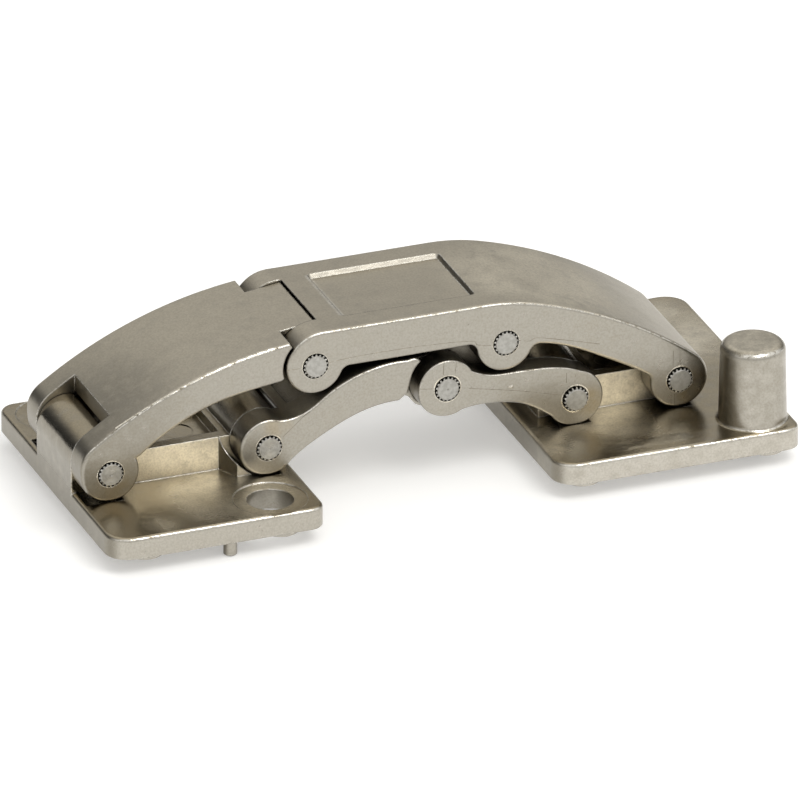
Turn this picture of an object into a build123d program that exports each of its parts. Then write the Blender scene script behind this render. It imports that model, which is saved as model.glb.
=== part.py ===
"""Seven-pivot concealed hinge: two screw-on base plates joined by four cast arms.

Millimetres, +X from the left plate to the right plate, +Z up off the mounting face.
The origin is under the middle of the opened hinge, level with the tips of the locating pegs.
"""
import os
from math import cos, pi, radians, sin
from build123d import *

# Pivot centres in the side view: x and z from the foot of the first pivot on the mounting face
PIVOTS = {
    1: (0.0, 7.55),
    2: (24.1, 7.55),
    3: (31.25, 19.3),
    4: (60.4, 17.95),
    5: (51.4, 12.25),
    6: (71.05, 7.35),
    7: (87.15, 7.6),
}
FIRST_X = -48.41

# Eyes, pins and running fits
EYE_R = 4.4
EYE_GAP = 0.35
BARREL_R = 4.44
PIN_D = 3.8
PIN_FIT = 0.05
BORE_D = PIN_D + 2 * PIN_FIT
PIN_SINK = 0.2
KNURL_FIT = 0.01
KNURL_D = BORE_D - 2 * KNURL_FIT
KNURL_ROOT_D = 3.0
KNURL_TEETH = 16
KNURL_TIP = 0.18
KNURL_ROOT = 0.2
KNURL_L = 3.2

# Base plates
PLATE_DEPTH = 48.4
PLATE_T = 3.25
CORNER_R = 3.6
TIGHT_CORNER_R = 2.5
PLATE_EDGE_R = 0.6
LEFT_X0 = FIRST_X - BARREL_R
LEFT_X1 = -20.15
RIGHT_X0 = 15.35
RIGHT_X1 = 52.85

# Locating pegs and corner pads on the undersides
PEG_D = 2.0
PEG_H = 2.6
PEG_TIP = 0.2
PEG_X = 14.1
PEG_EDGE_Y = 1.9
PAD_D = 5.2
PAD_H = 0.65
LEFT_PAD_EDGE_X = 6.0
RIGHT_PAD_EDGE_X = 4.6
PAD_EDGE_Y = 3.1
BASE_Z = PEG_H
TOP_Z = BASE_Z + PLATE_T

# Screw holes with shallow spot faces
SCREW_D = 6.8
SPOT_D = 10.8
SPOT_DEPTH = 0.15
SCREW_EDGE_X = 6.7
SCREW_EDGE_Y = 5.5
RIGHT_SCREW_EDGE_X = 5.3

# Post on the right plate
POST_D = 10.0
POST_H = 12.2
POST_DRAFT = 1.2
POST_TOP_R = 1.3
POST_ROOT_R = 0.5
POST_EDGE_X = 5.6
POST_EDGE_Y = 5.7
POST_CORE_D = 4.5
POST_CAP = 3.0

# Widths across the hinge
ARM_W = 23.0
LEFT_KNUCKLE_W = 14.2
RIGHT_KNUCKLE_W = 15.2
TONGUE_W = 14.0
INNER_TONGUE_W = 14.8
WEB_W = 13.4
SIDE_GAP = 0.1
LEFT_IN_W = LEFT_KNUCKLE_W + 2 * SIDE_GAP
RIGHT_IN_W = RIGHT_KNUCKLE_W + 2 * SIDE_GAP

# Pedestals between the knuckles
LEFT_PEDESTAL_TOP = 8.4
RIGHT_PEDESTAL_TOP = 8.5
CHANNEL_DEPTH = 1.6
CHANNEL_WALL = 1.8
CHANNEL_GAP = 1.0
EJECTOR_D = 4.6
EJECTOR_DEPTH = 0.12
CHEEK_W = 3.3
CHEEK_RUN = 1.7
KNUCKLE_6_R = 4.2
KNUCKLE_7_R = 3.1
KNUCKLE_7_FOOT = 1.0

# Play of the two pivots that close the linkage loops, as steps of the pin in the side view
SLOT_FIT = 0.12
SLOT_WALL = 0.6
PIN_2_PLAY = ((0, 0), (-1.2, 1.2), (1.1, 1.5))
KNUCKLE_2_PLAY = ((0, 0), (0.4, -1.0), (0.0, -1.7))
PIN_5_PLAY = ((0, 0), (-0.5, 1.7), (-1.0, 1.5), (-1.8, -1.6))
LINK_ROOM_R = 6.85

# Wall sizes and roundings of the arms
ARM_TOP = 24.45
SKIN_T = 2.5
NECK_R = 1.4
RIM_R = 0.5
LINK_RIM_R = 0.3
SHOULDER_R = 30.0
RECESS_L, RECESS_W, RECESS_DEPTH = 20.3, 14.8, 0.6
RECESS_X = 47.1
RECESS_CORNER_R = 0.6
RECESS_DRAFT = 35.0
SLOT_X = 33.0
SLOT_GAP = 0.3
WINDOW_X = 1.45
LIP_R = 5.35
LIP_END_X = 1.0
FAR = 30.0

# Short cover arm, side-view points from the foot of the first pivot
COVER_LIP = (-2.2, 12.4)
COVER_CREST = (12.1, 19.85)
COVER_HEEL = (27.4, 23.45)
COVER_NOSE = (-3.95, 10.6)
COVER_CHIN = (4.6, 9.6)
COVER_BELLY = ((26.2, 17.6), (21.2, 16.9), (15.1, 15.5), (9.0, 12.65), COVER_CHIN)
COVER_CEILING = ((3.2, 13.0), (13.0, 17.3), (25.0, 20.3))
COVER_ROOT = ((22.5, 18.0), (22.5, 21.3), COVER_HEEL)

# Long cover arm
HOOD_EAR = ((27.9, 22.2), (29.4, 23.6), (SLOT_X, ARM_TOP))
HOOD_START = (60.5, ARM_TOP)
HOOD_CREST = (75.2, 19.85)
HOOD_TAIL_ANGLE = 55.0
HOOD_BELLY = ((82.9, 8.6), (80.5, 10.2), (73.6, 13.95), (67.7, 16.4), (65.0, 16.9))
HOOD_EDGE_Z = 18.4
HOOD_CEILING = ((60.0, ARM_TOP - SKIN_T), (73.9, 17.6))

# Inner arm
FLANGE_TIP = ((45.4, 17.75), (47.2, 17.55), (47.6, 16.6))
FLANGE_CHIN = ((46.2, 13.1), (44.1, 11.5))
FLANGE_TOP = ((25.6, 11.65), (27.1, 11.55), (30.0, 12.35), (33.5, 14.7), (38.8, 17.05), (45.4, 17.75))
FLANGE_BELLY = ((44.1, 11.5), (37.6, 10.45), (32.85, 8.3), (28.8, 5.85), (26.7, 4.05))
WEB_FLOOR = ((27.1, 20.0), (29.1, 9.3), (33.0, 11.6), (38.0, 13.8), (44.6, 14.6), (45.0, 20.0))
TONGUE = ((40.0, 11.5), (40.0, 14.2), (44.6, 15.6), (49.4, 16.05), (58.2, 20.95), (62.8, 14.95),
          (53.4, 8.65), (49.4, 8.65), (44.1, 11.5))
TONGUE_EYE_5_R = 4.1
TONGUE_EYE_4_R = 3.8

# Short link
LINK_TOP = ((53.4, 15.95), (56.3, 13.85), (58.4, 13.25), (61.0, 13.1), (64.5, 13.05), (70.75, 12.1))
LINK_CROWN = (72.1, 11.5)
LINK_BELLY = ((68.2, 4.45), (66.4, 5.8), (63.1, 7.75), (59.5, 8.6), (56.4, 8.8), (53.6, 8.45))
LINK_FLOOR = ((51.4, 11.2), (71.05, 9.6), (71.05, 20.0), (51.4, 20.0))
LINK_EYE_6_R = 4.3


def at(x, z):
    """Side-view point given from the foot of the first pivot."""
    return (FIRST_X + x, BASE_Z + z)


def eye(n, radius):
    """Side-view disc on pivot n."""
    return Pos(*at(*PIVOTS[n])) * Circle(radius)


def swept(n, radius, play):
    """Side-view outline of a disc on pivot n carried through its play."""
    x, z = PIVOTS[n]
    discs = [Pos(*at(x + dx, z + dz)) * Circle(radius) for dx, dz in play]
    return make_hull([edge for disc in discs for edge in disc.edges()])


def polygon(*points):
    """Side-view polygon."""
    return make_face(Polyline(*[at(*p) for p in points], close=True))


def block(x0, x1, z0, z1):
    """Side-view rectangle."""
    return polygon((x0, z0), (x1, z0), (x1, z1), (x0, z1))


def smooth(points):
    """Side-view spline through the points."""
    return Spline(*[at(*p) for p in points])


def arc(a, b, c):
    """Side-view arc through three points."""
    return ThreePointArc(at(*a), at(*b), at(*c))


def straight(*points):
    """Side-view run of straight lines."""
    return Polyline(*[at(*p) for p in points])


def loop(*curves):
    """Side-view face inside a closed run of curves."""
    return make_face([e for c in curves for e in c.edges()])


def across(profile, width):
    """Side-view profile thickened evenly about the middle plane."""
    return extrude(Plane.XZ * profile, amount=width / 2, both=True)


def beside(profile, knuckle_w):
    """Room for turning eyes on both sides of a knuckle."""
    return across(profile, ARM_W + 4 * SIDE_GAP) - across(profile, knuckle_w)


def bore(n):
    """Cutter for the running bore on pivot n."""
    return across(eye(n, BORE_D / 2), 2 * ARM_W)


def slot(n, play):
    """Cutter for the slotted bore on pivot n."""
    return across(swept(n, BORE_D / 2 + SLOT_FIT, play), 2 * ARM_W)


def eased(solid, radius, *spots):
    """Solid with the cross-wise edges nearest the side-view spots rounded."""
    lines = [e for e in solid.edges().filter_by(GeomType.LINE) if abs(e.tangent_at(0).Y) > 0.999]
    chosen = []
    for spot in spots:
        x, z = at(*spot)
        reach = {e: (e.center().X - x) ** 2 + (e.center().Z - z) ** 2 for e in lines}
        nearest = min(reach.values())
        chosen += [e for e, far in reach.items() if far < nearest + 1e-4]
    return fillet(chosen, radius)


def rimmed(solid, radius):
    """Arm with the outlines of its two outer sides rounded."""
    sides = [f for f in solid.faces() if abs(abs(f.center().Y) - ARM_W / 2) < 0.01]
    return fillet([e for f in sides for e in f.outer_wire().edges()], radius)


def standing(radius, height):
    """Cylinder standing on the origin."""
    return Cylinder(radius, height, align=(Align.CENTER, Align.CENTER, Align.MIN))


def peg():
    """Locating peg with an eased tip, standing on the origin."""
    shaft = standing(PEG_D / 2, PEG_H)
    return chamfer(shaft.faces().sort_by(Axis.Z)[0].edges(), PEG_TIP)


def plate(x0, x1, tight, pad_edge_x):
    """Base plate with an eased top edge and corner pads; tight lists the corners with the small radius."""
    middle = (x0 + x1) / 2
    outline = Rectangle(x1 - x0, PLATE_DEPTH)
    for corner in outline.vertices():
        is_tight = (corner.X > 0, corner.Y > 0) in tight
        here = [v for v in outline.vertices() if abs(v.X - corner.X) + abs(v.Y - corner.Y) < 0.01]
        outline = fillet(here, TIGHT_CORNER_R if is_tight else CORNER_R)
    slab = extrude(outline, PLATE_T)
    slab = fillet(slab.faces().sort_by(Axis.Z)[-1].edges(), PLATE_EDGE_R)
    slab = Pos(middle, 0, BASE_Z) * slab
    reach_x = (x1 - x0) / 2 - pad_edge_x
    reach_y = PLATE_DEPTH / 2 - PAD_EDGE_Y
    for side_x in (-1, 1):
        for side_y in (-1, 1):
            place = Pos(middle + side_x * reach_x, side_y * reach_y, BASE_Z - PAD_H)
            slab += place * standing(PAD_D / 2, 2 * PAD_H)
    return slab


def screw_cut(x, y):
    """Cutter for a screw hole with its shallow spot face."""
    hole = Pos(x, y, 0) * standing(SCREW_D / 2, 2 * TOP_Z)
    return hole + Pos(x, y, TOP_Z - SPOT_DEPTH) * standing(SPOT_D / 2, TOP_Z)


def channel(x0, x1, top, width):
    """Shallow channel along the top of a pedestal, with an ejector mark in its floor."""
    floor = top - CHANNEL_DEPTH
    run = across(block(x0, x1, floor, FAR), width - 2 * CHANNEL_WALL)
    x, z = at((x0 + 2 * x1) / 3, floor - EJECTOR_DEPTH)
    return run + Pos(x, 0, z) * standing(EJECTOR_D / 2, CHANNEL_DEPTH)


def cheek(side, x2):
    """Flared foot between the left pedestal and an ear of the inner arm."""
    start = x2 - EYE_R - CHEEK_RUN
    y = side * LEFT_KNUCKLE_W / 2
    root = y - side * CHANNEL_GAP
    tip = y + side * CHEEK_W
    plan = [(start, root), (start, y), (x2 - EYE_R, tip), (x2, tip), (x2, root)]
    foot = make_face(Polyline(*[(FIRST_X + px, py) for px, py in plan], close=True))
    return Pos(0, 0, BASE_Z + PLATE_T / 2) * extrude(foot, LEFT_PEDESTAL_TOP - PLATE_T / 2)


def make_left_plate():
    """Left base plate: pedestal with a barrel at its outer end and a knuckle at its inner end."""
    body = plate(LEFT_X0, LEFT_X1, {(False, True), (True, False)}, LEFT_PAD_EDGE_X)
    edge_x = LEFT_X1 - FIRST_X
    x2, z2 = PIVOTS[2]
    pedestal = polygon(
        (-BARREL_R, PLATE_EDGE_R), (-BARREL_R, PIVOTS[1][1]), (0, LEFT_PEDESTAL_TOP),
        (x2, LEFT_PEDESTAL_TOP), (edge_x, z2), (edge_x, PLATE_EDGE_R),
    )
    knuckle = eye(2, EYE_R) - block(edge_x, FAR, 0, FAR)
    body += across(pedestal + eye(1, BARREL_R) + knuckle, LEFT_KNUCKLE_W)
    for side in (-1, 1):
        body += cheek(side, x2)
    channel_end = x2 - EYE_R - CHANNEL_GAP
    body -= channel(BARREL_R + CHANNEL_GAP, channel_end, LEFT_PEDESTAL_TOP, LEFT_KNUCKLE_W)
    body -= beside(eye(1, EYE_R + EYE_GAP), LEFT_KNUCKLE_W)
    body -= beside(eye(1, LIP_R + EYE_GAP) - block(LIP_END_X, FAR, 0, FAR), LEFT_KNUCKLE_W)
    body -= beside(swept(2, EYE_R + EYE_GAP, PIN_2_PLAY), LEFT_KNUCKLE_W)
    body -= bore(1)
    body -= slot(2, PIN_2_PLAY)
    middle = (LEFT_X0 + LEFT_X1) / 2
    reach_x = (LEFT_X1 - LEFT_X0) / 2 - SCREW_EDGE_X
    reach_y = PLATE_DEPTH / 2 - SCREW_EDGE_Y
    for side in (-1, 1):
        body -= screw_cut(middle - side * reach_x, side * reach_y)
        body += Pos(FIRST_X + PEG_X, side * (PLATE_DEPTH / 2 - PEG_EDGE_Y), 0) * peg()
    return body


def post(x, y):
    """Drafted post with a rounded top, rooted half way into the plate."""
    foot = Pos(x, y, TOP_Z - PLATE_T / 2) * Circle(POST_D / 2)
    shaft = extrude(foot, POST_H + PLATE_T / 2, taper=POST_DRAFT)
    return fillet(shaft.faces().sort_by(Axis.Z)[-1].edges(), POST_TOP_R)


def make_right_plate():
    """Right base plate: pedestal with two knuckles, one screw hole and the post."""
    body = plate(RIGHT_X0, RIGHT_X1, {(True, False)}, RIGHT_PAD_EDGE_X)
    x6, z6 = PIVOTS[6]
    x7, z7 = PIVOTS[7]
    pedestal = polygon(
        (x6 - KNUCKLE_6_R, PLATE_EDGE_R), (x6 - KNUCKLE_6_R, z6), (x6, RIGHT_PEDESTAL_TOP),
        (x7, RIGHT_PEDESTAL_TOP), (x7 + KNUCKLE_7_FOOT, z7), (x7 + KNUCKLE_7_FOOT, PLATE_EDGE_R),
    )
    body += across(pedestal + eye(6, KNUCKLE_6_R) + eye(7, KNUCKLE_7_R), RIGHT_KNUCKLE_W)
    channel_x0 = x6 + KNUCKLE_6_R + CHANNEL_GAP
    channel_x1 = x7 - KNUCKLE_7_R - CHANNEL_GAP
    body -= channel(channel_x0, channel_x1, RIGHT_PEDESTAL_TOP, RIGHT_KNUCKLE_W)
    for n in (6, 7):
        body -= beside(eye(n, EYE_R + EYE_GAP), RIGHT_KNUCKLE_W)
        body -= bore(n)
    body -= screw_cut(RIGHT_X0 + RIGHT_SCREW_EDGE_X, PLATE_DEPTH / 2 - SCREW_EDGE_Y)
    post_x, post_y = RIGHT_X1 - POST_EDGE_X, POST_EDGE_Y - PLATE_DEPTH / 2
    body += post(post_x, post_y)
    rings = body.edges().filter_by(GeomType.CIRCLE)
    root = [e for e in rings if abs(e.center().Z - TOP_Z) < 0.01 and abs(e.radius - POST_D / 2) < 0.2]
    body = fillet(root, POST_ROOT_R)
    return body - Pos(post_x, post_y, 0) * standing(POST_CORE_D / 2, TOP_Z + POST_H - POST_CAP)


def make_short_cover():
    """Short cover arm: a curved cover with a fork on pivot 1 and a tongue on pivot 3."""
    x3, z3 = PIVOTS[3]
    back = (-EYE_R, PIVOTS[1][1])
    shell = loop(
        arc(COVER_LIP, COVER_CREST, COVER_HEEL),
        straight(COVER_HEEL, (29.5, 20.0), COVER_BELLY[0]),
        smooth(COVER_BELLY),
        straight(COVER_CHIN, PIVOTS[1], back),
        smooth((back, COVER_NOSE, COVER_LIP)),
    )
    body = eased(across(shell + eye(1, EYE_R), ARM_W), NECK_R, COVER_CHIN)
    body -= across(eye(3, EYE_R + EYE_GAP), 2 * ARM_W)
    start, end = COVER_CEILING[0], COVER_CEILING[-1]
    hollow = loop(arc(*COVER_CEILING), straight(end, (end[0], 0), (start[0], 0), start))
    body -= across(hollow, LEFT_IN_W)
    body -= across(block(-FAR, WINDOW_X, 0, FAR) + eye(1, BARREL_R + EYE_GAP), LEFT_IN_W)
    tip_x = SLOT_X - SLOT_GAP
    root = polygon(*COVER_ROOT, (tip_x, ARM_TOP - SLOT_GAP), (tip_x, z3), (x3, z3 - EYE_R), COVER_BELLY[0])
    body += across(root + eye(3, EYE_R), TONGUE_W)
    for n in (1, 3):
        body -= bore(n)
    return rimmed(body, RIM_R)


def make_long_cover():
    """Long cover arm: an inverted channel on pivots 3, 4 and 7 with a shallow top recess."""
    x3, z3 = PIVOTS[3]
    x4, z4 = PIVOTS[4]
    x7, z7 = PIVOTS[7]
    lean = radians(HOOD_TAIL_ANGLE)
    tail = (x7 + EYE_R * cos(lean), z7 + EYE_R * sin(lean))
    edge = ((55.0, HOOD_EDGE_Z), (x3 + 2, HOOD_EDGE_Z))
    shell = loop(
        smooth(HOOD_EAR),
        straight(HOOD_EAR[-1], HOOD_START),
        arc(HOOD_START, HOOD_CREST, tail),
        straight(tail, PIVOTS[7], HOOD_BELLY[0]),
        smooth(HOOD_BELLY),
        straight(HOOD_BELLY[-1], (x4, z4 - 1), *edge, PIVOTS[3], HOOD_EAR[0]),
    )
    body = across(shell + eye(3, EYE_R) + eye(4, EYE_R) + eye(7, EYE_R), ARM_W)
    body = eased(body, NECK_R, (35.5, 18.4), (55.9, 18.3), (64.7, 16.9), (82.8, 8.7))
    body = eased(body, SHOULDER_R, HOOD_START)
    room_7 = KNUCKLE_7_R + 2 * SIDE_GAP
    mouth_z = z7 + 2 * SIDE_GAP
    ceiling = (SLOT_X + 2, HOOD_CEILING[0][1])
    hollow = loop(
        straight((ceiling[0], 0), ceiling, HOOD_CEILING[0]),
        arc(*HOOD_CEILING, (x7, z7 + room_7)),
        straight((x7, z7 + room_7), (x7 + 2, mouth_z), (x7 + 6, mouth_z), (x7 + 6, 0), (ceiling[0], 0)),
    )
    body -= across(hollow + eye(7, room_7), RIGHT_IN_W)
    notch = block(x3 - 8, SLOT_X, 0, FAR) + eye(3, EYE_R + 2 * EYE_GAP)
    body -= across(notch, TONGUE_W + 2 * SIDE_GAP)
    x, z = at(RECESS_X, ARM_TOP)
    mouth = Plane((x, 0, z), z_dir=(0, 0, -1)) * RectangleRounded(RECESS_L, RECESS_W, RECESS_CORNER_R)
    body -= extrude(mouth, RECESS_DEPTH, taper=RECESS_DRAFT)
    for n in (3, 4, 7):
        body -= bore(n)
    return rimmed(body, RIM_R)


def make_inner_arm():
    """Inner arm: side flanges on pivot 2, then a narrow tongue to pivots 5 and 4."""
    x2, z2 = PIVOTS[2]
    flange = loop(
        smooth(FLANGE_TOP),
        smooth(FLANGE_TIP),
        straight(FLANGE_TIP[-1], *FLANGE_CHIN),
        smooth(FLANGE_BELLY),
        straight(FLANGE_BELLY[-1], PIVOTS[2], FLANGE_TOP[0]),
    )
    body = across(flange + eye(2, EYE_R), ARM_W)
    room = swept(2, EYE_R + EYE_GAP, KNUCKLE_2_PLAY) + block(x2 - 9, x2 + 3, 0, FAR)
    body -= across(room, LEFT_IN_W)
    body -= across(polygon(*WEB_FLOOR), WEB_W)
    body -= beside(swept(5, EYE_R + SIDE_GAP, PIN_5_PLAY), INNER_TONGUE_W)
    tongue = polygon(*TONGUE) + eye(5, TONGUE_EYE_5_R) + eye(4, TONGUE_EYE_4_R)
    tongue += swept(5, BORE_D / 2 + SLOT_WALL, PIN_5_PLAY)
    body += across(tongue, INNER_TONGUE_W)
    for n in (2, 4):
        body -= bore(n)
    body -= slot(5, PIN_5_PLAY)
    return rimmed(body, RIM_R)


def make_short_link():
    """Short link: a bone-shaped pair of cheeks with a web between, on pivots 5 and 6."""
    x5, x6 = PIVOTS[5][0], PIVOTS[6][0]
    bone = loop(
        smooth(LINK_TOP),
        straight(LINK_TOP[-1], LINK_CROWN, PIVOTS[6], LINK_BELLY[0]),
        smooth(LINK_BELLY),
        straight(LINK_BELLY[-1], PIVOTS[5], LINK_TOP[0]),
    )
    body = across(bone + eye(5, EYE_R) + eye(6, LINK_EYE_6_R), ARM_W)
    room = eye(5, LINK_ROOM_R) + eye(6, EYE_R + EYE_GAP)
    room += block(x5 - 9, x5, 0, FAR) + block(x6, x6 + 9, 0, FAR)
    room += polygon(*LINK_FLOOR)
    body -= across(room, RIGHT_IN_W)
    for n in (5, 6):
        body -= bore(n)
    return rimmed(body, LINK_RIM_R)


def make_pin():
    """Pivot pin: a plain shank with knurled ends."""
    length = ARM_W - 2 * PIN_SINK
    shank_l = length - 2 * KNURL_L
    tip_r, root_r = KNURL_D / 2, KNURL_ROOT_D / 2
    ring = []
    for k in range(KNURL_TEETH):
        for turn, r in ((-KNURL_TIP, tip_r), (KNURL_TIP, tip_r), (1 - KNURL_ROOT, root_r), (1 + KNURL_ROOT, root_r)):
            a = pi / KNURL_TEETH * (2 * k + turn)
            ring.append((r * cos(a), r * sin(a)))
    teeth = make_face(Polyline(*ring, close=True))
    shank = extrude(Circle(PIN_D / 2), shank_l / 2, both=True)
    knurl = extrude(teeth, length / 2, both=True) - extrude(Circle(KNURL_D), shank_l / 2, both=True)
    return Plane.XZ * (shank + knurl)


def export():
    """Write every piece to its own file."""
    os.makedirs("parts", exist_ok=True)
    pieces = {
        "left_base_plate": make_left_plate(),
        "right_base_plate": make_right_plate(),
        "short_cover_arm": make_short_cover(),
        "long_cover_arm": make_long_cover(),
        "inner_arm": make_inner_arm(),
        "short_link": make_short_link(),
    }
    pin = make_pin()
    for n, centre in PIVOTS.items():
        x, z = at(*centre)
        pieces[f"pin_{n}"] = Pos(x, 0, z) * pin
    for name, piece in pieces.items():
        export_step(piece, f"parts/{name}.step")
        print(name, len(piece.solids()), round(piece.volume, 1))


if __name__ == "__main__":
    export()
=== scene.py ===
"""Looks of the opened multi-pivot hinge: plated castings, turned pins, studio floor, light and camera."""
import random
from math import cos, radians, sin, tau

import bpy
import bmesh
from mathutils import Matrix, Vector


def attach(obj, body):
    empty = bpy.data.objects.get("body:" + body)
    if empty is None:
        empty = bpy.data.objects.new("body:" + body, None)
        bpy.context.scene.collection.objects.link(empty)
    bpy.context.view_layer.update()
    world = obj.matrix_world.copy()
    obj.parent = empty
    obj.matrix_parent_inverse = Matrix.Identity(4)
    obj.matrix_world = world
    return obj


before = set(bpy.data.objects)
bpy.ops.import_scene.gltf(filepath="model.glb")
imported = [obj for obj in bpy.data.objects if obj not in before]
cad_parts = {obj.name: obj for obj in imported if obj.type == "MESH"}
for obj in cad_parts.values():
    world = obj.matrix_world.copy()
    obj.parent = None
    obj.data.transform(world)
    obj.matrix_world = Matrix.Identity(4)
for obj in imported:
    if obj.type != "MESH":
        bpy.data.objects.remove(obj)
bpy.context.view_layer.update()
MM = 0.001

# The first pivot's place along X, and the plates' underside above the pegs' ends (mm)
FIRST_X = -48.41
BASE_Z = 2.6

# Pivot centres in the side view (mm from the first pivot's foot) and the body that shows each pin's ends
PIVOTS = {
    1: ((0.0, 7.55), "short_cover"),
    2: ((24.1, 7.55), "inner"),
    3: ((31.25, 19.3), "long_cover"),
    4: ((60.4, 17.95), "long_cover"),
    5: ((51.4, 12.25), "link"),
    6: ((71.05, 7.35), "link"),
    7: ((87.15, 7.6), "long_cover"),
}
ARM_HALF = 11.5
BORE_R = 1.95
PIN_HALF = 11.3
PLATE_T = 3.25
PLATE_TOP_Z = BASE_Z + PLATE_T
PEDESTAL_HALF = 8.5
BARREL_REACH = 5.2
POST = (95.7, -18.5)
POST_REACH = 5.1


# ---------------------------------------------------------------- node trees

class Tree:
    """Short calls for building a node tree."""

    def __init__(self, tree):
        self.tree = tree

    def node(self, kind, **settings):
        made = self.tree.nodes.new(kind)
        for key, value in settings.items():
            setattr(made, key, value)
        return made

    def link(self, source, target):
        if isinstance(source, (int, float, tuple)):
            target.default_value = source
        else:
            self.tree.links.new(source, target)

    def split(self, vector):
        made = self.node("ShaderNodeSeparateXYZ")
        self.link(vector, made.inputs[0])
        return tuple(made.outputs)

    def scaled(self, vector, factor):
        made = self.node("ShaderNodeVectorMath", operation="SCALE")
        self.link(vector, made.inputs[0])
        self.link(factor, made.inputs["Scale"])
        return made.outputs[0]

    def math(self, operation, a, b=0.0):
        made = self.node("ShaderNodeMath", operation=operation)
        self.link(a, made.inputs[0])
        self.link(b, made.inputs[1])
        return made.outputs[0]

    def plus(self, a, b):
        return self.math("ADD", a, b)

    def minus(self, a, b):
        return self.math("SUBTRACT", a, b)

    def times(self, a, b):
        return self.math("MULTIPLY", a, b)

    def size(self, a):
        return self.math("ABSOLUTE", a)

    def ramp(self, value, low, high, to_low=0.0, to_high=1.0):
        """Smooth change of value from low..high to to_low..to_high."""
        made = self.node("ShaderNodeMapRange", interpolation_type="SMOOTHSTEP")
        for target, source in zip(made.inputs, (value, low, high, to_low, to_high)):
            self.link(source, target)
        return made.outputs[0]

    def mix(self, share, a, b):
        """Colour between a and b."""
        made = self.node("ShaderNodeMix", data_type="RGBA")
        self.link(share, made.inputs[0])
        self.link(a, made.inputs[6])
        self.link(b, made.inputs[7])
        return made.outputs[2]

    def blend(self, share, a, b):
        """Number between a and b."""
        made = self.node("ShaderNodeMix", data_type="FLOAT")
        self.link(share, made.inputs[0])
        self.link(a, made.inputs[2])
        self.link(b, made.inputs[3])
        return made.outputs[0]


class Surface(Tree):
    """Node tree of one material, with its places in mm and its normals."""

    def __init__(self, name):
        self.mat = bpy.data.materials.new(name)
        self.mat.use_nodes = True
        super().__init__(self.mat.node_tree)
        self.bsdf = self.tree.nodes["Principled BSDF"]
        coord = self.node("ShaderNodeTexCoord")
        self.mm = self.scaled(coord.outputs["Object"], 1000.0)
        self.x, self.y, self.z = self.split(self.mm)
        self.nx, self.ny, self.nz = self.split(coord.outputs["Normal"])

    def noise(self, scale, detail=3.0, rough=0.5, stretch=(1, 1, 1), turn=(0, 0, 0), shift=(0, 0, 0)):
        place = self.node("ShaderNodeMapping")
        self.link(self.mm, place.inputs[0])
        place.inputs["Location"].default_value = shift
        place.inputs["Rotation"].default_value = turn
        place.inputs["Scale"].default_value = stretch
        made = self.node("ShaderNodeTexNoise")
        self.link(place.outputs[0], made.inputs["Vector"])
        made.inputs["Scale"].default_value = scale
        made.inputs["Detail"].default_value = detail
        made.inputs["Roughness"].default_value = rough
        return made.outputs[0]

    def bump(self, height, distance_mm, normal=None):
        made = self.node("ShaderNodeBump")
        self.link(height, made.inputs["Height"])
        made.inputs["Distance"].default_value = distance_mm * MM
        if normal is not None:
            self.link(normal, made.inputs["Normal"])
        return made.outputs[0]

    def edges(self, radius_mm):
        """(rounded normal, how much the surface turns there)."""
        made = self.node("ShaderNodeBevel", samples=4)
        made.inputs["Radius"].default_value = radius_mm * MM
        geo = self.node("ShaderNodeNewGeometry")
        dot = self.node("ShaderNodeVectorMath", operation="DOT_PRODUCT")
        self.link(made.outputs[0], dot.inputs[0])
        self.link(geo.outputs["Normal"], dot.inputs[1])
        return made.outputs[0], self.ramp(dot.outputs["Value"], 0.995, 0.93)

    def crevice(self, distance_mm):
        """1 in the open, less where other surfaces stand within the distance."""
        made = self.node("ShaderNodeAmbientOcclusion", samples=6)
        made.inputs["Distance"].default_value = distance_mm * MM
        return made.outputs["AO"]

    def within(self, dx, dy, reach, soft):
        """1 within reach of a place, given the two distances to it, fading over soft (mm)."""
        far = self.math("SQRT", self.plus(self.times(dx, dx), self.times(dy, dy)))
        return self.ramp(far, reach + soft, reach)

    def near(self, x, z, reach, soft):
        """1 near a side-view point."""
        return self.within(self.minus(self.x, FIRST_X + x), self.minus(self.z, BASE_Z + z), reach, soft)

    def near_plan(self, x, y, reach, soft):
        """1 near a point seen from above."""
        return self.within(self.minus(self.x, FIRST_X + x), self.minus(self.y, y), reach, soft)


# ---------------------------------------------------------------- materials

# Nickel tones. Tops and flanks of the one plating take separate tones, each set to how bright that side
# looks: painted light.
NICKEL = (0.475, 0.448, 0.392, 1)
NICKEL_ARM = (0.415, 0.392, 0.343, 1)
NICKEL_DARK = (0.41, 0.38, 0.32, 1)
NICKEL_TOP = (0.52, 0.475, 0.385, 1)
# Lightened nickel: painted light on the pedestal walls and in the sheen patches, painted highlight on the
# burrs
NICKEL_LIGHTENED = (0.92, 0.85, 0.70, 1)
# Tone of painted shade, on the left ends and in the shade patches
NICKEL_SHADE = (0.26, 0.24, 0.20, 1)
PLATE_TOP = (0.40, 0.345, 0.245, 1)
PLATE_SIDE = (0.56, 0.53, 0.47, 1)
# Bright edge tone: painted highlight with some wear on the edges, also used for the bright stripes
EDGE_BRIGHT = (0.86, 0.84, 0.78, 1)
EDGE_DARK = (0.20, 0.175, 0.13, 1)
# Near-black brown of the painted shade in crevices and deep places
CREVICE_SHADE_TONE = (0.035, 0.028, 0.018, 1)
STAIN = (0.42, 0.31, 0.14, 1)
STEEL = ((0.50, 0.49, 0.455, 1), (0.40, 0.385, 0.35, 1))
STEEL_FACE = ((0.46, 0.45, 0.42, 1), (0.38, 0.37, 0.34, 1))
WITNESS = ((0.30, 0.27, 0.22, 1), (0.20, 0.18, 0.14, 1))

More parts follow.
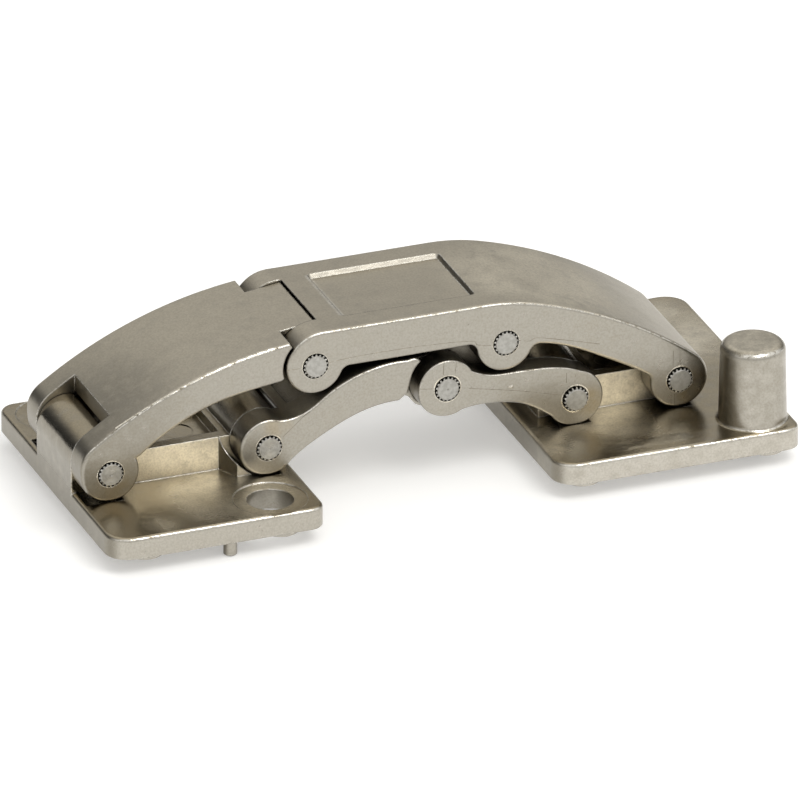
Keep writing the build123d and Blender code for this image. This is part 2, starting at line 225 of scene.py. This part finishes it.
SATIN_ROUGH = 0.36
FLANK_ROUGH = 0.30
PLATE_ROUGH = 0.20
POLISHED_ROUGH = 0.07
# How strong the plates' painted crevice shade is, 1 being full
PLATE_CREVICE_SHADE = 0.3

# Reach of the rounded edges and heights of the relief (mm)
EDGE_REACH = 0.28
WAVE = 0.10
GRAIN = 0.011
BRUSHING = 0.010
NICKS = 0.05
PITS = 0.02


def painted_facing_tones(n, top, flank, low):
    """Painted light by facing: separate tones for the tops and the flanks, each set to how bright that side
    looks, the pedestals' inner walls lightened towards the low tone, and painted shade on the left ends.
    """
    tone = n.mix(n.up, flank, top)
    if low:
        # Pedestal inner walls take the low tone: painted light in place of the light they reflect
        inner = n.ramp(n.size(n.y), PEDESTAL_HALF + 1.0, PEDESTAL_HALF)
        above = n.ramp(n.z, PLATE_TOP_Z, PLATE_TOP_Z + 0.3)
        tone = n.mix(n.times(n.ramp(n.size(n.ny), 0.5, 0.8), n.times(inner, above)), tone, low)
    # Faces turned to the left take the shade tone: painted shade
    return n.mix(n.ramp(n.nx, -0.55, -0.90), tone, NICKEL_SHADE)


def sheen_shade_and_stripe_tones(n, tone, sheens, shades, streaks):
    """(tone with painted sheen patches, painted shade patches and bright stripes, roughness that the sheen
    patches add)
    """
    satin = 0.0
    # Sheens: painted sheen, lightened patches on the tops in place of reflected light; these patches are a
    # little rougher too
    for (x, y, reach, soft, share) in sheens:
        uneven = n.ramp(n.noise(0.16), 0.30, 0.62, 0.55 * share, share)
        painted_sheen = n.times(n.times(n.near_plan(x, y, reach, soft), n.up), uneven)
        tone = n.mix(painted_sheen, tone, NICKEL_LIGHTENED)
        satin = n.plus(satin, n.times(painted_sheen, 0.16))
    # Shades: painted shade patches, kept above the plates' top
    for (x, y, reach, soft, share) in shades:
        painted_shade = n.times(n.near_plan(x, y, reach, soft), n.ramp(n.mottle, 0.30, 0.62, 0.5 * share, share))
        tone = n.mix(n.times(painted_shade, n.ramp(n.z, PLATE_TOP_Z, PLATE_TOP_Z + 0.4)), tone, NICKEL_SHADE)
    for (x, half, half_length, share) in streaks:
        off = n.size(n.minus(n.x, FIRST_X + x))
        line = n.times(n.ramp(off, half + 0.3, half), n.ramp(n.size(n.y), half_length + 0.4, half_length))
        line = n.times(n.times(line, n.up), n.ramp(n.mottle, 0.35, 0.6, 0.3 * share, share))
        tone = n.mix(line, tone, EDGE_BRIGHT)
    return tone, satin


def stained_tones(n, tone, stains, grime):
    """Tone with brown stains, and with brown grime that keeps to the walls."""
    for (x, z, reach, soft, share) in stains:
        uneven = n.ramp(n.noise(0.35), 0.35, 0.6, 0.4 * share, share)
        tone = n.mix(n.times(n.near(x, z, reach, soft), uneven), tone, STAIN)
    for (x, y, reach, soft, share) in grime:
        side_only = n.times(n.near_plan(x, y, reach, soft), n.minus(1.0, n.up))
        tone = n.mix(n.times(side_only, n.ramp(n.mottle, 0.30, 0.6, 0.3 * share, share)), tone, STAIN)
    return tone


def casting(name, top=NICKEL_TOP, top_rough=SATIN_ROUGH, flank=NICKEL, flank_rough=FLANK_ROUGH, low=None,
            crevice_shade=1.0, sheens=(), shades=(), streaks=(), stains=(), grime=(), polish=()):
    """Satin nickel on a zinc casting: edges bright with wear and a painted highlight, painted shade in deep
    places, fine grain and soft waviness.

    Its patches are (x, y, reach, soft edge, share) in mm from the first pivot, seen from above, or
    (x, z, reach, soft edge, share) for stains and polish. Streaks are (x, half width, half length, share).
    """
    n = Surface(name)
    round_normal, edge = n.edges(EDGE_REACH)
    n.up = n.ramp(n.nz, 0.50, 0.85)
    n.mottle = n.noise(0.55, 4.0, 0.55)
    cloud = n.noise(0.07, 3.0, 0.55)
    lines = n.noise(1.3, 3.0, 0.6, (1, 9, 1), (0, 0, radians(25)))
    dash = n.noise(1.1, 3.0, 0.7, shift=(3, 1, 5))

    # Plating with its painted facing light, its painted sheen and shade patches, bright stripes, and its
    # mottle
    tone, satin = sheen_shade_and_stripe_tones(n, painted_facing_tones(n, top, flank, low), sheens, shades, streaks)
    wear = n.plus(n.times(n.minus(cloud, 0.5), 0.4), n.times(n.minus(n.mottle, 0.5), 0.55))
    tone = n.mix(n.ramp(wear, -0.05, 0.35), tone, NICKEL_DARK)
    tone = stained_tones(n, tone, stains, grime)

    # Edges, bright with a painted highlight and with rubbed wear, and dark where nicked; the painted
    # highlight is strongest on the outer top edges
    shoulder = n.times(n.ramp(n.size(n.ny), 0.40, 0.65), n.ramp(n.nz, 0.35, 0.6))
    shoulder = n.times(shoulder, n.ramp(n.size(n.y), PEDESTAL_HALF + 1.0, PEDESTAL_HALF + 2.0))
    edge_wear_and_highlight = n.math("MAXIMUM", edge, shoulder)
    tone = n.mix(n.times(edge_wear_and_highlight, n.ramp(dash, 0.42, 0.52, 0.25, 0.85)), tone, EDGE_BRIGHT)
    tone = n.mix(n.times(edge_wear_and_highlight, n.ramp(dash, 0.40, 0.35, 0.0, 0.95)), tone, EDGE_DARK)

    # Specks, pits, and painted shade in deep places, in creases and under parts
    speck = n.ramp(n.noise(3.2, 4.0, 0.65, shift=(1, 8, 2)), 0.35, 0.68, 0.0, 0.26)
    tone = n.mix(speck, tone, EDGE_DARK)
    pits = n.ramp(n.noise(2.1, 2.0, 0.5, shift=(7, 3, 1)), 0.735, 0.78)
    tone = n.mix(n.times(pits, 0.5), tone, EDGE_DARK)
    tone = n.mix(n.ramp(n.crevice(1.0), 0.10, 0.75, 1.0 - crevice_shade), CREVICE_SHADE_TONE, tone)
    tone = n.mix(n.ramp(n.crevice(9.0), 0.10, 0.50, 1.0 - crevice_shade), CREVICE_SHADE_TONE, tone)
    n.link(tone, n.bsdf.inputs["Base Color"])
    n.bsdf.inputs["Metallic"].default_value = 1.0

    rough_top = n.plus(n.plus(top_rough, satin), n.times(n.minus(lines, 0.5), 0.12))
    rough_side = n.plus(flank_rough, n.times(n.minus(n.mottle, 0.5), 0.15))
    rough = n.blend(n.up, rough_side, rough_top)
    for (x, z, reach, soft, share) in polish:
        rough = n.blend(n.times(n.near(x, z, reach, soft), share), rough, POLISHED_ROUGH)
    n.link(n.times(rough, n.ramp(edge_wear_and_highlight, 0.0, 1.0, 1.0, 0.7)), n.bsdf.inputs["Roughness"])

    relief = n.bump(n.noise(0.22, 2.0), WAVE, round_normal)
    relief = n.bump(n.noise(5.0, 3.0, 0.6), GRAIN, relief)
    relief = n.bump(n.times(lines, n.up), BRUSHING, relief)
    relief = n.bump(n.times(dash, edge_wear_and_highlight), NICKS, relief)
    relief = n.bump(n.minus(1.0, pits), PITS, relief)
    n.link(relief, n.bsdf.inputs["Normal"])
    return n.mat


def pin_metal(name, tones=STEEL):
    """Turned steel with a frosted grain, with painted shade between the teeth of its knurl."""
    n = Surface(name)
    grain = n.noise(6.0, 4.0, 0.6)
    tone = n.mix(n.ramp(n.noise(1.7), 0.35, 0.65), *tones)
    # Painted shade between the knurl teeth and where other parts stand close
    tone = n.mix(n.ramp(n.crevice(0.5), 0.25, 0.95), CREVICE_SHADE_TONE, tone)
    n.link(tone, n.bsdf.inputs["Base Color"])
    n.bsdf.inputs["Metallic"].default_value = 1.0
    n.link(n.ramp(grain, 0.3, 0.7, 0.36, 0.5), n.bsdf.inputs["Roughness"])
    n.link(n.bump(grain, 0.008), n.bsdf.inputs["Normal"])
    return n.mat


def paint(node, material):
    """Gives a CAD node one material."""
    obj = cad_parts[node]
    obj.data.materials.clear()
    obj.data.materials.append(material)


# Left plate: painted light on the pedestal walls, painted sheen patches, weaker painted crevice shade, and a
# smoother barrel
LEFT_PLATE = {
    "low": NICKEL_LIGHTENED,
    "crevice_shade": PLATE_CREVICE_SHADE,
    "sheens": ((17, -15.5, 5, 7, 1.0), (4, -21, 1, 3, 0.6)),
    "polish": ((*PIVOTS[1][0], BARREL_REACH, 0.8, 0.75),),
}
# Right plate: lighter flank tone as painted light, painted light on the pedestal walls, painted sheen patches
# including the post's top, painted shade on the post, and weaker painted crevice shade
RIGHT_PLATE = {
    "flank": PLATE_SIDE,
    "low": NICKEL_LIGHTENED,
    "crevice_shade": PLATE_CREVICE_SHADE,
    "sheens": ((65, -15, 2, 6, 0.8), (77, -11.5, 4, 4, 0.8), (79, -20, 3, 5, 0.45), (92, 12, 6, 10, 0.8),
               (*POST, 3.5, 1.5, 0.9)),
    "shades": ((*POST, POST_REACH, 0.4, 0.55),),
}
# Short cover: darker flank tone as painted shade, painted shade patches on its left part, and brown stains
SHORT_COVER = {
    "flank": NICKEL_ARM,
    "shades": ((1, -2, 4, 9, 0.55), (1, -10, 5, 9, 0.45)),
    "stains": ((0.5, 4.0, 1.5, 3, 0.3),),
    "grime": ((5.2, 6.5, 1.2, 2.5, 0.8),),
}
# Long cover: darker flank tone as painted shade, a painted sheen patch on its slope, a bright stripe along
# the recess's left edge, and a brown stain
LONG_COVER = {
    "flank": NICKEL_ARM,
    "sheens": ((69, 0, 8, 8, 0.55),),
    "streaks": ((37.1, 0.45, 6.9, 0.6),),
    "stains": ((89.5, 6, 1.5, 2.5, 0.4),),
}
INNER_STAINS = ((25.5, 11, 1, 2, 0.3),)
LINK_STAINS = ((73, 6.5, 1, 2, 0.4), (46.5, 9, 0.5, 1.5, 0.3))

paint("left_base_plate", casting("left_plate_metal", PLATE_TOP, PLATE_ROUGH, **LEFT_PLATE))
paint("right_base_plate", casting("right_plate_metal", PLATE_TOP, PLATE_ROUGH, **RIGHT_PLATE))
paint("short_cover_arm", casting("short_cover_metal", **SHORT_COVER))
paint("long_cover_arm", casting("long_cover_metal", **LONG_COVER))
paint("inner_arm", casting("inner_arm_metal", flank=NICKEL_ARM, stains=INNER_STAINS))
paint("short_link", casting("short_link_metal", flank=NICKEL_ARM, stains=LINK_STAINS))
for number in PIVOTS:
    paint(f"pin_{number}", pin_metal(f"pin_metal_{number}"))
PIN_FACE = pin_metal("pin_face_metal", STEEL_FACE)
# Burr metal in the lightened tone: painted highlight on the lips round the bores and on the edge burrs
BURR_METAL = casting("burr_metal", NICKEL_LIGHTENED, 0.22, NICKEL_LIGHTENED, 0.22)
SEAM_METAL = pin_metal("seam_metal", WITNESS)
SKIN_METAL = casting("skin_metal", NICKEL_TOP, 0.24, NICKEL_TOP, 0.24, crevice_shade=0.4)


# ---------------------------------------------------------------- small real shapes on the castings

# How far each pin's end stands out of its ear (mm), and whether the turning left rings on it
PIN_STAND = {1: (0.35, True), 2: (0.40, True), 3: (0.35, False), 4: (0.35, False), 5: (0.40, True),
             6: (0.70, False), 7: (0.55, False)}
TEETH = 18
STEPS_PER_TOOTH = 4
TOOTH_R = 1.91
ROOT_R = 1.60
RING_STEP = 0.13
RING_DEPTH = 0.022

# How ragged the lip round each pivot's bores is, the lip's swells, and its height and spread (mm)
RAGGED = {1: 0.8, 2: 0.6, 3: 0.4, 4: 0.4, 5: 1.2, 6: 1.5, 7: 1.3}
SWELLS = 8
LIP_STEPS = 64
LIP_HEIGHT = 0.07
LIP_SPREAD = 0.20

# Witness lines of the die on the arms' outer sides, in the side view
SEAMS = {
    "long_cover": (
        ((26.9, 19.35), (28.9, 19.3)),
        ((33.2, 19.45), (36.8, 19.75), (46.4, 19.75), (54.9, 19.2), (55.9, 18.45), (58.1, 17.95)),
        ((62.3, 18.05), (64.1, 17.65), (65.0, 18.0), (68.7, 17.1), (74.8, 15.35)),
        ((86.2, 12.3), (86.15, 9.9)),
        ((87.2, 11.95), (87.2, 10.0)),
        ((85.85, 5.5), (85.85, 3.9)),
        ((86.4, 5.4), (86.4, 3.6)),
    ),
    "link": (
        ((47.15, 12.9), (49.1, 12.6)),
        ((53.7, 12.0), (55.6, 11.55), (62.5, 10.0), (68.6, 8.3)),
        ((50.85, 16.4), (50.8, 14.6)),
        ((52.8, 16.2), (52.6, 14.5)),
        ((69.7, 11.6), (69.7, 10.0)),
        ((71.1, 11.5), (71.0, 9.9)),
    ),
    "inner": (
        ((26.2, 8.9), (27.6, 10.1), (29.3, 11.55), (30.4, 12.2)),
    ),
}
SEAM_SIZE = (0.13, 0.03)
SEAM_STEP = 0.45
SEAM_GAPS = 0.04

# Front top edges of the covers in the side view, each as an arc or straight run through three points
COVER_EDGES = {
    "short_cover": (((0.5, 14.6), (12.1, 19.85), (26.8, 23.35)),),
    "long_cover": (
        ((34.5, 24.45), (46.0, 24.45), (57.5, 24.45)),
        ((62.0, 24.2), (75.2, 19.85), (88.6, 11.9)),
    ),
}
EDGE_R = 0.5
EDGE_BURR_SIZE = (0.18, 0.035)
EDGE_BURR_STEP = 0.35
EDGE_BURR_GAPS = 0.30

# How deep the rims of raised shapes are sunk into their casting (mm)
SUNK = 0.02

BLEMISH = (61.2, 10.9)
BLEMISH_R = 0.42
SKIN_X = (73.0, 86.0)
SKIN_Y = (-22.6, -19.2)
SKIN_STEP = 0.4
SKIN_HEIGHT = (0.03, 0.12)


def row_point(x, y, z):
    """Side-view point and depth (mm) in the row frame, in mm."""
    return Vector((FIRST_X + x, y, BASE_Z + z))


def side_word(side):
    return "front" if side < 0 else "back"


def piece(name, verts, faces, body, material, finish="plated_casting"):
    """Mesh piece in mm that rides on a body and takes the given material; the finish argument is not used."""
    mesh = bpy.data.meshes.new(name)
    mesh.from_pydata([v * MM for v in verts], [], faces)
    mesh.update()
    shaped = bmesh.new()
    shaped.from_mesh(mesh)
    bmesh.ops.recalc_face_normals(shaped, faces=shaped.faces)
    shaped.to_mesh(mesh)
    shaped.free()
    mesh.materials.append(material)
    obj = bpy.data.objects.new(name, mesh)
    bpy.context.scene.collection.objects.link(obj)
    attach(obj, body)
    return obj


def stacked_rings(rings, centre_y=None):
    """(vertices, faces) of equal rings joined one to the next; the last is closed on its centre if given."""
    count = len(rings[0])
    verts = [v for ring in rings for v in ring]
    faces = []
    for k in range(len(rings) - 1):
        for i in range(count):
            j = (i + 1) % count
            faces.append((k * count + i, k * count + j, (k + 1) * count + j, (k + 1) * count + i))
    if centre_y is not None:
        last = (len(rings) - 1) * count
        middle = sum(rings[-1], Vector()) / count
        middle.y = centre_y
        verts.append(middle)
        faces += [(last + i, last + (i + 1) % count, len(verts) - 1) for i in range(count)]
    return verts, faces


def pin_end(number, side, rng):
    """Riveted pin end: a crown of knurl teeth with a turned face, standing a little out of its ear."""
    (x, z), body = PIVOTS[number]
    stand, ringed = PIN_STAND[number]
    count = TEETH * STEPS_PER_TOOTH
    tips = [TOOTH_R + rng.uniform(-0.07, 0.0) for _ in range(TEETH)]

    def ring(depth, radius_at):
        points = []
        for i in range(count):
            a = tau * i / count
            r = radius_at(i)
            points.append(row_point(x + r * cos(a), side * depth, z + r * sin(a)))
        return points

    def tooth(i):
        return tips[i // STEPS_PER_TOOTH] if i % STEPS_PER_TOOTH in (1, 2) else ROOT_R

    top = ARM_HALF + stand
    rings = [ring(PIN_HALF - 0.05, tooth), ring(top - 0.22, tooth)]
    rings.append(ring(top - 0.12, lambda i: ROOT_R + 0.04))
    rings.append(ring(top - 0.03, lambda i: ROOT_R - 0.02))
    radius = ROOT_R - 0.08
    level = 0
    while radius > 0.12:
        sunk = RING_DEPTH * (level % 2) if ringed else 0.0
        rings.append(ring(top - sunk, lambda i, r=radius: r))
        radius -= RING_STEP
        level += 1
    verts, faces = stacked_rings(rings, side * (top - (0.10 if ringed else 0.01)))
    piece(f"pin_end_{number}_{side_word(side)}", verts, faces, body, PIN_FACE, "pin_steel")


def burr(number, side, rng):
    """Ragged lip raised round a bore where the knurl was driven in."""
    (x, z), body = PIVOTS[number]
    ragged = RAGGED[number]
    swell = [rng.uniform(0.0, 1.0) for _ in range(SWELLS)]
    rings = [[], [], []]
    for i in range(LIP_STEPS):
        a = tau * i / LIP_STEPS
        share = SWELLS * i / LIP_STEPS
        before, after = swell[int(share)], swell[(int(share) + 1) % SWELLS]
        here = before + (after - before) * (share % 1.0)
        lift = 0.01 + LIP_HEIGHT * ragged * here * rng.uniform(0.6, 1.0)
        spread = 0.10 + LIP_SPREAD * ragged * here + rng.uniform(-0.03, 0.03)
        profile = ((BORE_R + 0.01, -0.03), (BORE_R + 0.05, lift), (BORE_R + spread, -SUNK))
        for ring, (r, depth) in zip(rings, profile):
            ring.append(row_point(x + r * cos(a), side * (ARM_HALF + depth), z + r * sin(a)))
    piece(f"bore_burr_{number}_{side_word(side)}", *stacked_rings(rings), body, BURR_METAL)


def smooth_path(points, step):
    """Points about every step along a smooth curve through the given ones."""
    path = []
    for k in range(len(points) - 1):
        a, b = points[k], points[k + 1]
        before = points[k - 1] if k else a
        after = points[k + 2] if k + 2 < len(points) else b
        pieces = max(2, round((b - a).length / step))
        for i in range(pieces):
            t = i / pieces
            path.append(0.5 * ((2 * a) + (b - before) * t + (2 * before - 5 * a + 4 * b - after) * t ** 2
                               + (3 * a - before - 3 * b + after) * t ** 3))
    return path + [points[-1]]


def arc_points(a, b, c, y, step):
    """Points on the arc, or straight run, through three side-view points."""
    (ax, az), (bx, bz), (cx, cz) = a, b, c
    d = 2 * (ax * (bz - cz) + bx * (cz - az) + cx * (az - bz))
    if abs(d) < 1e-6:
        count = round(abs(cx - ax) / step)
        shares = [i / count for i in range(count + 1)]
        return [row_point(ax + (cx - ax) * t, y, az + (cz - az) * t) for t in shares]
    sa, sb, sc = ax * ax + az * az, bx * bx + bz * bz, cx * cx + cz * cz
    ox = (sa * (bz - cz) + sb * (cz - az) + sc * (az - bz)) / d
    oz = (sa * (cx - bx) + sb * (ax - cx) + sc * (bx - ax)) / d
    centre = Vector((ox, oz))
    start, end = Vector(a) - centre, Vector(c) - centre
    sweep = start.angle_signed(end)
    count = round(abs(sweep) * start.length / step)
    points = []
    for i in range(count + 1):
        arm = start.copy()
        arm.rotate(Matrix.Rotation(-sweep * i / count, 2))
        points.append(row_point(centre.x + arm.x, y, centre.y + arm.y))
    return points


def ridge(name, body, path, outward, size, gaps, material, rng):
    """Thin raised line along a path, broken here and there; outward gives the surface's normal at a point."""
    width, height = size
    verts, faces = [], []
    whole = False
    for k, point in enumerate(path):
        along = (path[min(k + 1, len(path) - 1)] - path[max(k - 1, 0)]).normalized()
        normal = outward(along)
        across = along.cross(normal).normalized()
        half = 0.5 * width * rng.uniform(0.75, 1.25)
        lift = height * rng.uniform(0.5, 1.2)
        row = len(verts)
        foot = point - normal * SUNK
        verts += [foot - across * half, point + normal * lift, foot + across * half]
        if whole:
            faces += [(row - 3, row, row + 1, row - 2), (row - 2, row + 1, row + 2, row - 1)]
        whole = rng.random() > gaps
    if faces:
        piece(name, verts, faces, body, material)


def witness_lines(side, rng):
    """Fine lines left by the die on one side of the arms."""
    for body, lines in SEAMS.items():
        for k, points in enumerate(lines, 1):
            path = smooth_path([row_point(x, side * ARM_HALF, z) for x, z in points], SEAM_STEP)
            ridge(f"seam_{body}_{k}_{side_word(side)}", body, path, lambda along: Vector((0, side, 0)),
                  SEAM_SIZE, SEAM_GAPS, SEAM_METAL, rng)


def edge_burrs(side, rng):
    """Broken burrs along the covers' top edges on one side, on the middle of the edges' rounding."""
    sunk = EDGE_R * (1 - cos(radians(45)))

    def outward(along):
        up = Vector((-along.z, 0, along.x))
        return (up + Vector((0, side, 0))).normalized()

    for body, runs in COVER_EDGES.items():
        for k, run in enumerate(runs, 1):
            edge = arc_points(*run, side * ARM_HALF, EDGE_BURR_STEP)
            path = [p - Vector((0, side * sunk, sunk)) for p in edge]
            ridge(f"edge_burr_{body}_{k}_{side_word(side)}", body, path, outward,
                  EDGE_BURR_SIZE, EDGE_BURR_GAPS, BURR_METAL, rng)


def blister(name, body, place, reach, side, rng):
    """Small raised casting blemish on an arm's side, lower than it is wide."""
    x, z = place
    rings = []
    for r, lift in ((reach, -SUNK), (0.7 * reach, 0.05), (0.35 * reach, 0.09)):
        ring = []
        for i in range(14):
            a = tau * i / 14
            out = r * rng.uniform(0.75, 1.25)
            ring.append(row_point(x + out * cos(a), side * (ARM_HALF + lift), z + 0.7 * out * sin(a)))
        rings.append(ring)
    piece(name, *stacked_rings(rings, side * (ARM_HALF + 0.06)), body, SKIN_METAL)


def cast_skin(name, body, rng):
    """Wrinkled skin left by the die on a plate's top: a low uneven patch that dies out at its rim."""
    (x0, x1), (y0, y1) = SKIN_X, SKIN_Y
    across, deep = round((x1 - x0) / SKIN_STEP), round((y1 - y0) / SKIN_STEP)
    verts, faces = [], []
    for j in range(deep + 1):
        for i in range(across + 1):
            u, v = i / across, j / deep
            inside = min(1.0, 5 * u, 5 * (1 - u)) * min(1.0, 3 * v, 3 * (1 - v))
            lift = -SUNK + inside * rng.uniform(*SKIN_HEIGHT)
            verts.append(row_point(x0 + (x1 - x0) * u, y0 + (y1 - y0) * v, PLATE_T + lift))
    for j in range(deep):
        for i in range(across):
            k = j * (across + 1) + i
            faces.append((k, k + 1, k + across + 2, k + across + 1))
    obj = piece(name, verts, faces, body, SKIN_METAL)
    for face in obj.data.polygons:
        face.use_smooth = True


luck = random.Random(7)
for number in PIVOTS:
    for side in (-1, 1):
        pin_end(number, side, luck)
        burr(number, side, luck)
witness_lines(-1, luck)
edge_burrs(-1, luck)
witness_lines(1, luck)
blister("blister_link", "link", BLEMISH, BLEMISH_R, -1, luck)
cast_skin("plate_skin", "right_plate", luck)


# ---------------------------------------------------------------- stage, light and camera

FLOOR_HALF = 6.0
FLOOR_GLOW = 0.33
KEY_PLACE = (0.22, -0.50, 0.85)
KEY_SIZE = 0.45
KEY_POWER = 2.9
KEY_COLOUR = (1, 0.99, 0.97)

# Grey levels of the room over the height of a direction (-1 straight down, 1 straight up)
FRONT_SKY = ((-1.0, 0.8), (0.0, 0.75), (0.3, 0.85), (1.0, 0.95))
REAR_SKY = ((-0.05, 0.8), (0.02, 0.18), (0.22, 0.28), (0.45, 0.62), (0.8, 0.95))
SKY_TINT = (1.0, 0.99, 0.965)
SCREEN_LEVEL = 0.30

# Camera fitted to the photograph: angles in degrees, distance and shifts in mm
CAMERA_TURN = (-20.88, 25.688, -0.046)
CAMERA_DISTANCE = 3259.6
CAMERA_SHIFT = (1.385, 2.219)
CAMERA_AIM = (50.0, 0.0, 8.0)
FOCAL_PX, FRAME_PX = 22690.0, 800.0
SENSOR_MM = 36.0


def stage_floor():
    """Wide pale floor, lit a little from below like a light table."""
    mesh = bpy.data.meshes.new("floor")
    r = FLOOR_HALF
    mesh.from_pydata([(-r, -r, 0), (r, -r, 0), (r, r, 0), (-r, r, 0)], [], [(0, 1, 2, 3)])
    obj = bpy.data.objects.new("floor", mesh)
    bpy.context.scene.collection.objects.link(obj)
    n = Surface("floor_paper")
    paper = n.mix(n.noise(0.05, 2.0), (0.84, 0.84, 0.835, 1), (0.86, 0.86, 0.855, 1))
    n.link(paper, n.bsdf.inputs["Base Color"])
    n.bsdf.inputs["Roughness"].default_value = 0.9
    n.bsdf.inputs["Emission Color"].default_value = (1.0, 0.995, 0.985, 1)
    n.bsdf.inputs["Emission Strength"].default_value = FLOOR_GLOW
    mesh.materials.append(n.mat)


def key_light():
    """Square soft box high in front, aimed at the hinge."""
    data = bpy.data.lights.new("key", "AREA")
    data.shape = "RECTANGLE"
    data.size = data.size_y = KEY_SIZE
    data.energy = KEY_POWER
    data.color = KEY_COLOUR
    obj = bpy.data.objects.new("key", data)
    obj.location = KEY_PLACE
    aim = Vector((0, 0, 0.01)) - Vector(KEY_PLACE)
    obj.rotation_euler = aim.to_track_quat("-Z", "Y").to_euler()
    bpy.context.scene.collection.objects.link(obj)


def sky_ramp(w, height, stops):
    """Grey of a direction from its height and the stops."""
    ramp = w.node("ShaderNodeValToRGB")
    w.link(w.plus(w.times(height, 0.5), 0.5), ramp.inputs[0])
    elements = ramp.color_ramp.elements
    while len(elements) < len(stops):
        elements.new(0.5)
    for element, (place, level) in zip(elements, stops):
        element.position = 0.5 + 0.5 * place
        element.color = (*(level * tint for tint in SKY_TINT), 1)
    return ramp.outputs[0]


def room():
    """Pale room in front, a darker one behind with a screen at its left."""
    world = bpy.data.worlds.new("studio")
    bpy.context.scene.world = world
    world.use_nodes = True
    w = Tree(world.node_tree)
    coord = w.node("ShaderNodeTexCoord")
    x, y, height = w.split(coord.outputs["Generated"])
    screen = w.ramp(x, -0.52, -0.22, SCREEN_LEVEL, 1.0)
    rear = w.scaled(sky_ramp(w, height, REAR_SKY), screen)
    sky = w.mix(w.ramp(y, -0.25, 0.45), sky_ramp(w, height, FRONT_SKY), rear)
    back = w.tree.nodes["Background"]
    w.link(sky, back.inputs["Color"])
    back.inputs["Strength"].default_value = 1.0


def camera():
    """Long-lens camera at the photograph's viewing angle."""
    az, el, roll = (radians(angle) for angle in CAMERA_TURN)
    side_shift, up_shift = CAMERA_SHIFT
    forward = Vector((-sin(az) * cos(el), cos(az) * cos(el), -sin(el)))
    right = Vector((cos(az), sin(az), 0.0))
    up = right.cross(forward)
    right, up = cos(roll) * right + sin(roll) * up, cos(roll) * up - sin(roll) * right
    place = row_point(*CAMERA_AIM) - CAMERA_DISTANCE * forward - side_shift * right - up_shift * up
    data = bpy.data.cameras.new("photo_view")
    data.sensor_width = SENSOR_MM
    data.lens = SENSOR_MM * FOCAL_PX / FRAME_PX
    obj = bpy.data.objects.new("photo_view", data)
    turn = Matrix((right, up, -forward)).transposed().to_4x4()
    obj.matrix_world = Matrix.Translation(place * MM) @ turn
    bpy.context.scene.collection.objects.link(obj)
    bpy.context.scene.camera = obj


stage_floor()
room()
key_light()
camera()
bpy.context.scene.view_settings.view_transform = "Standard"
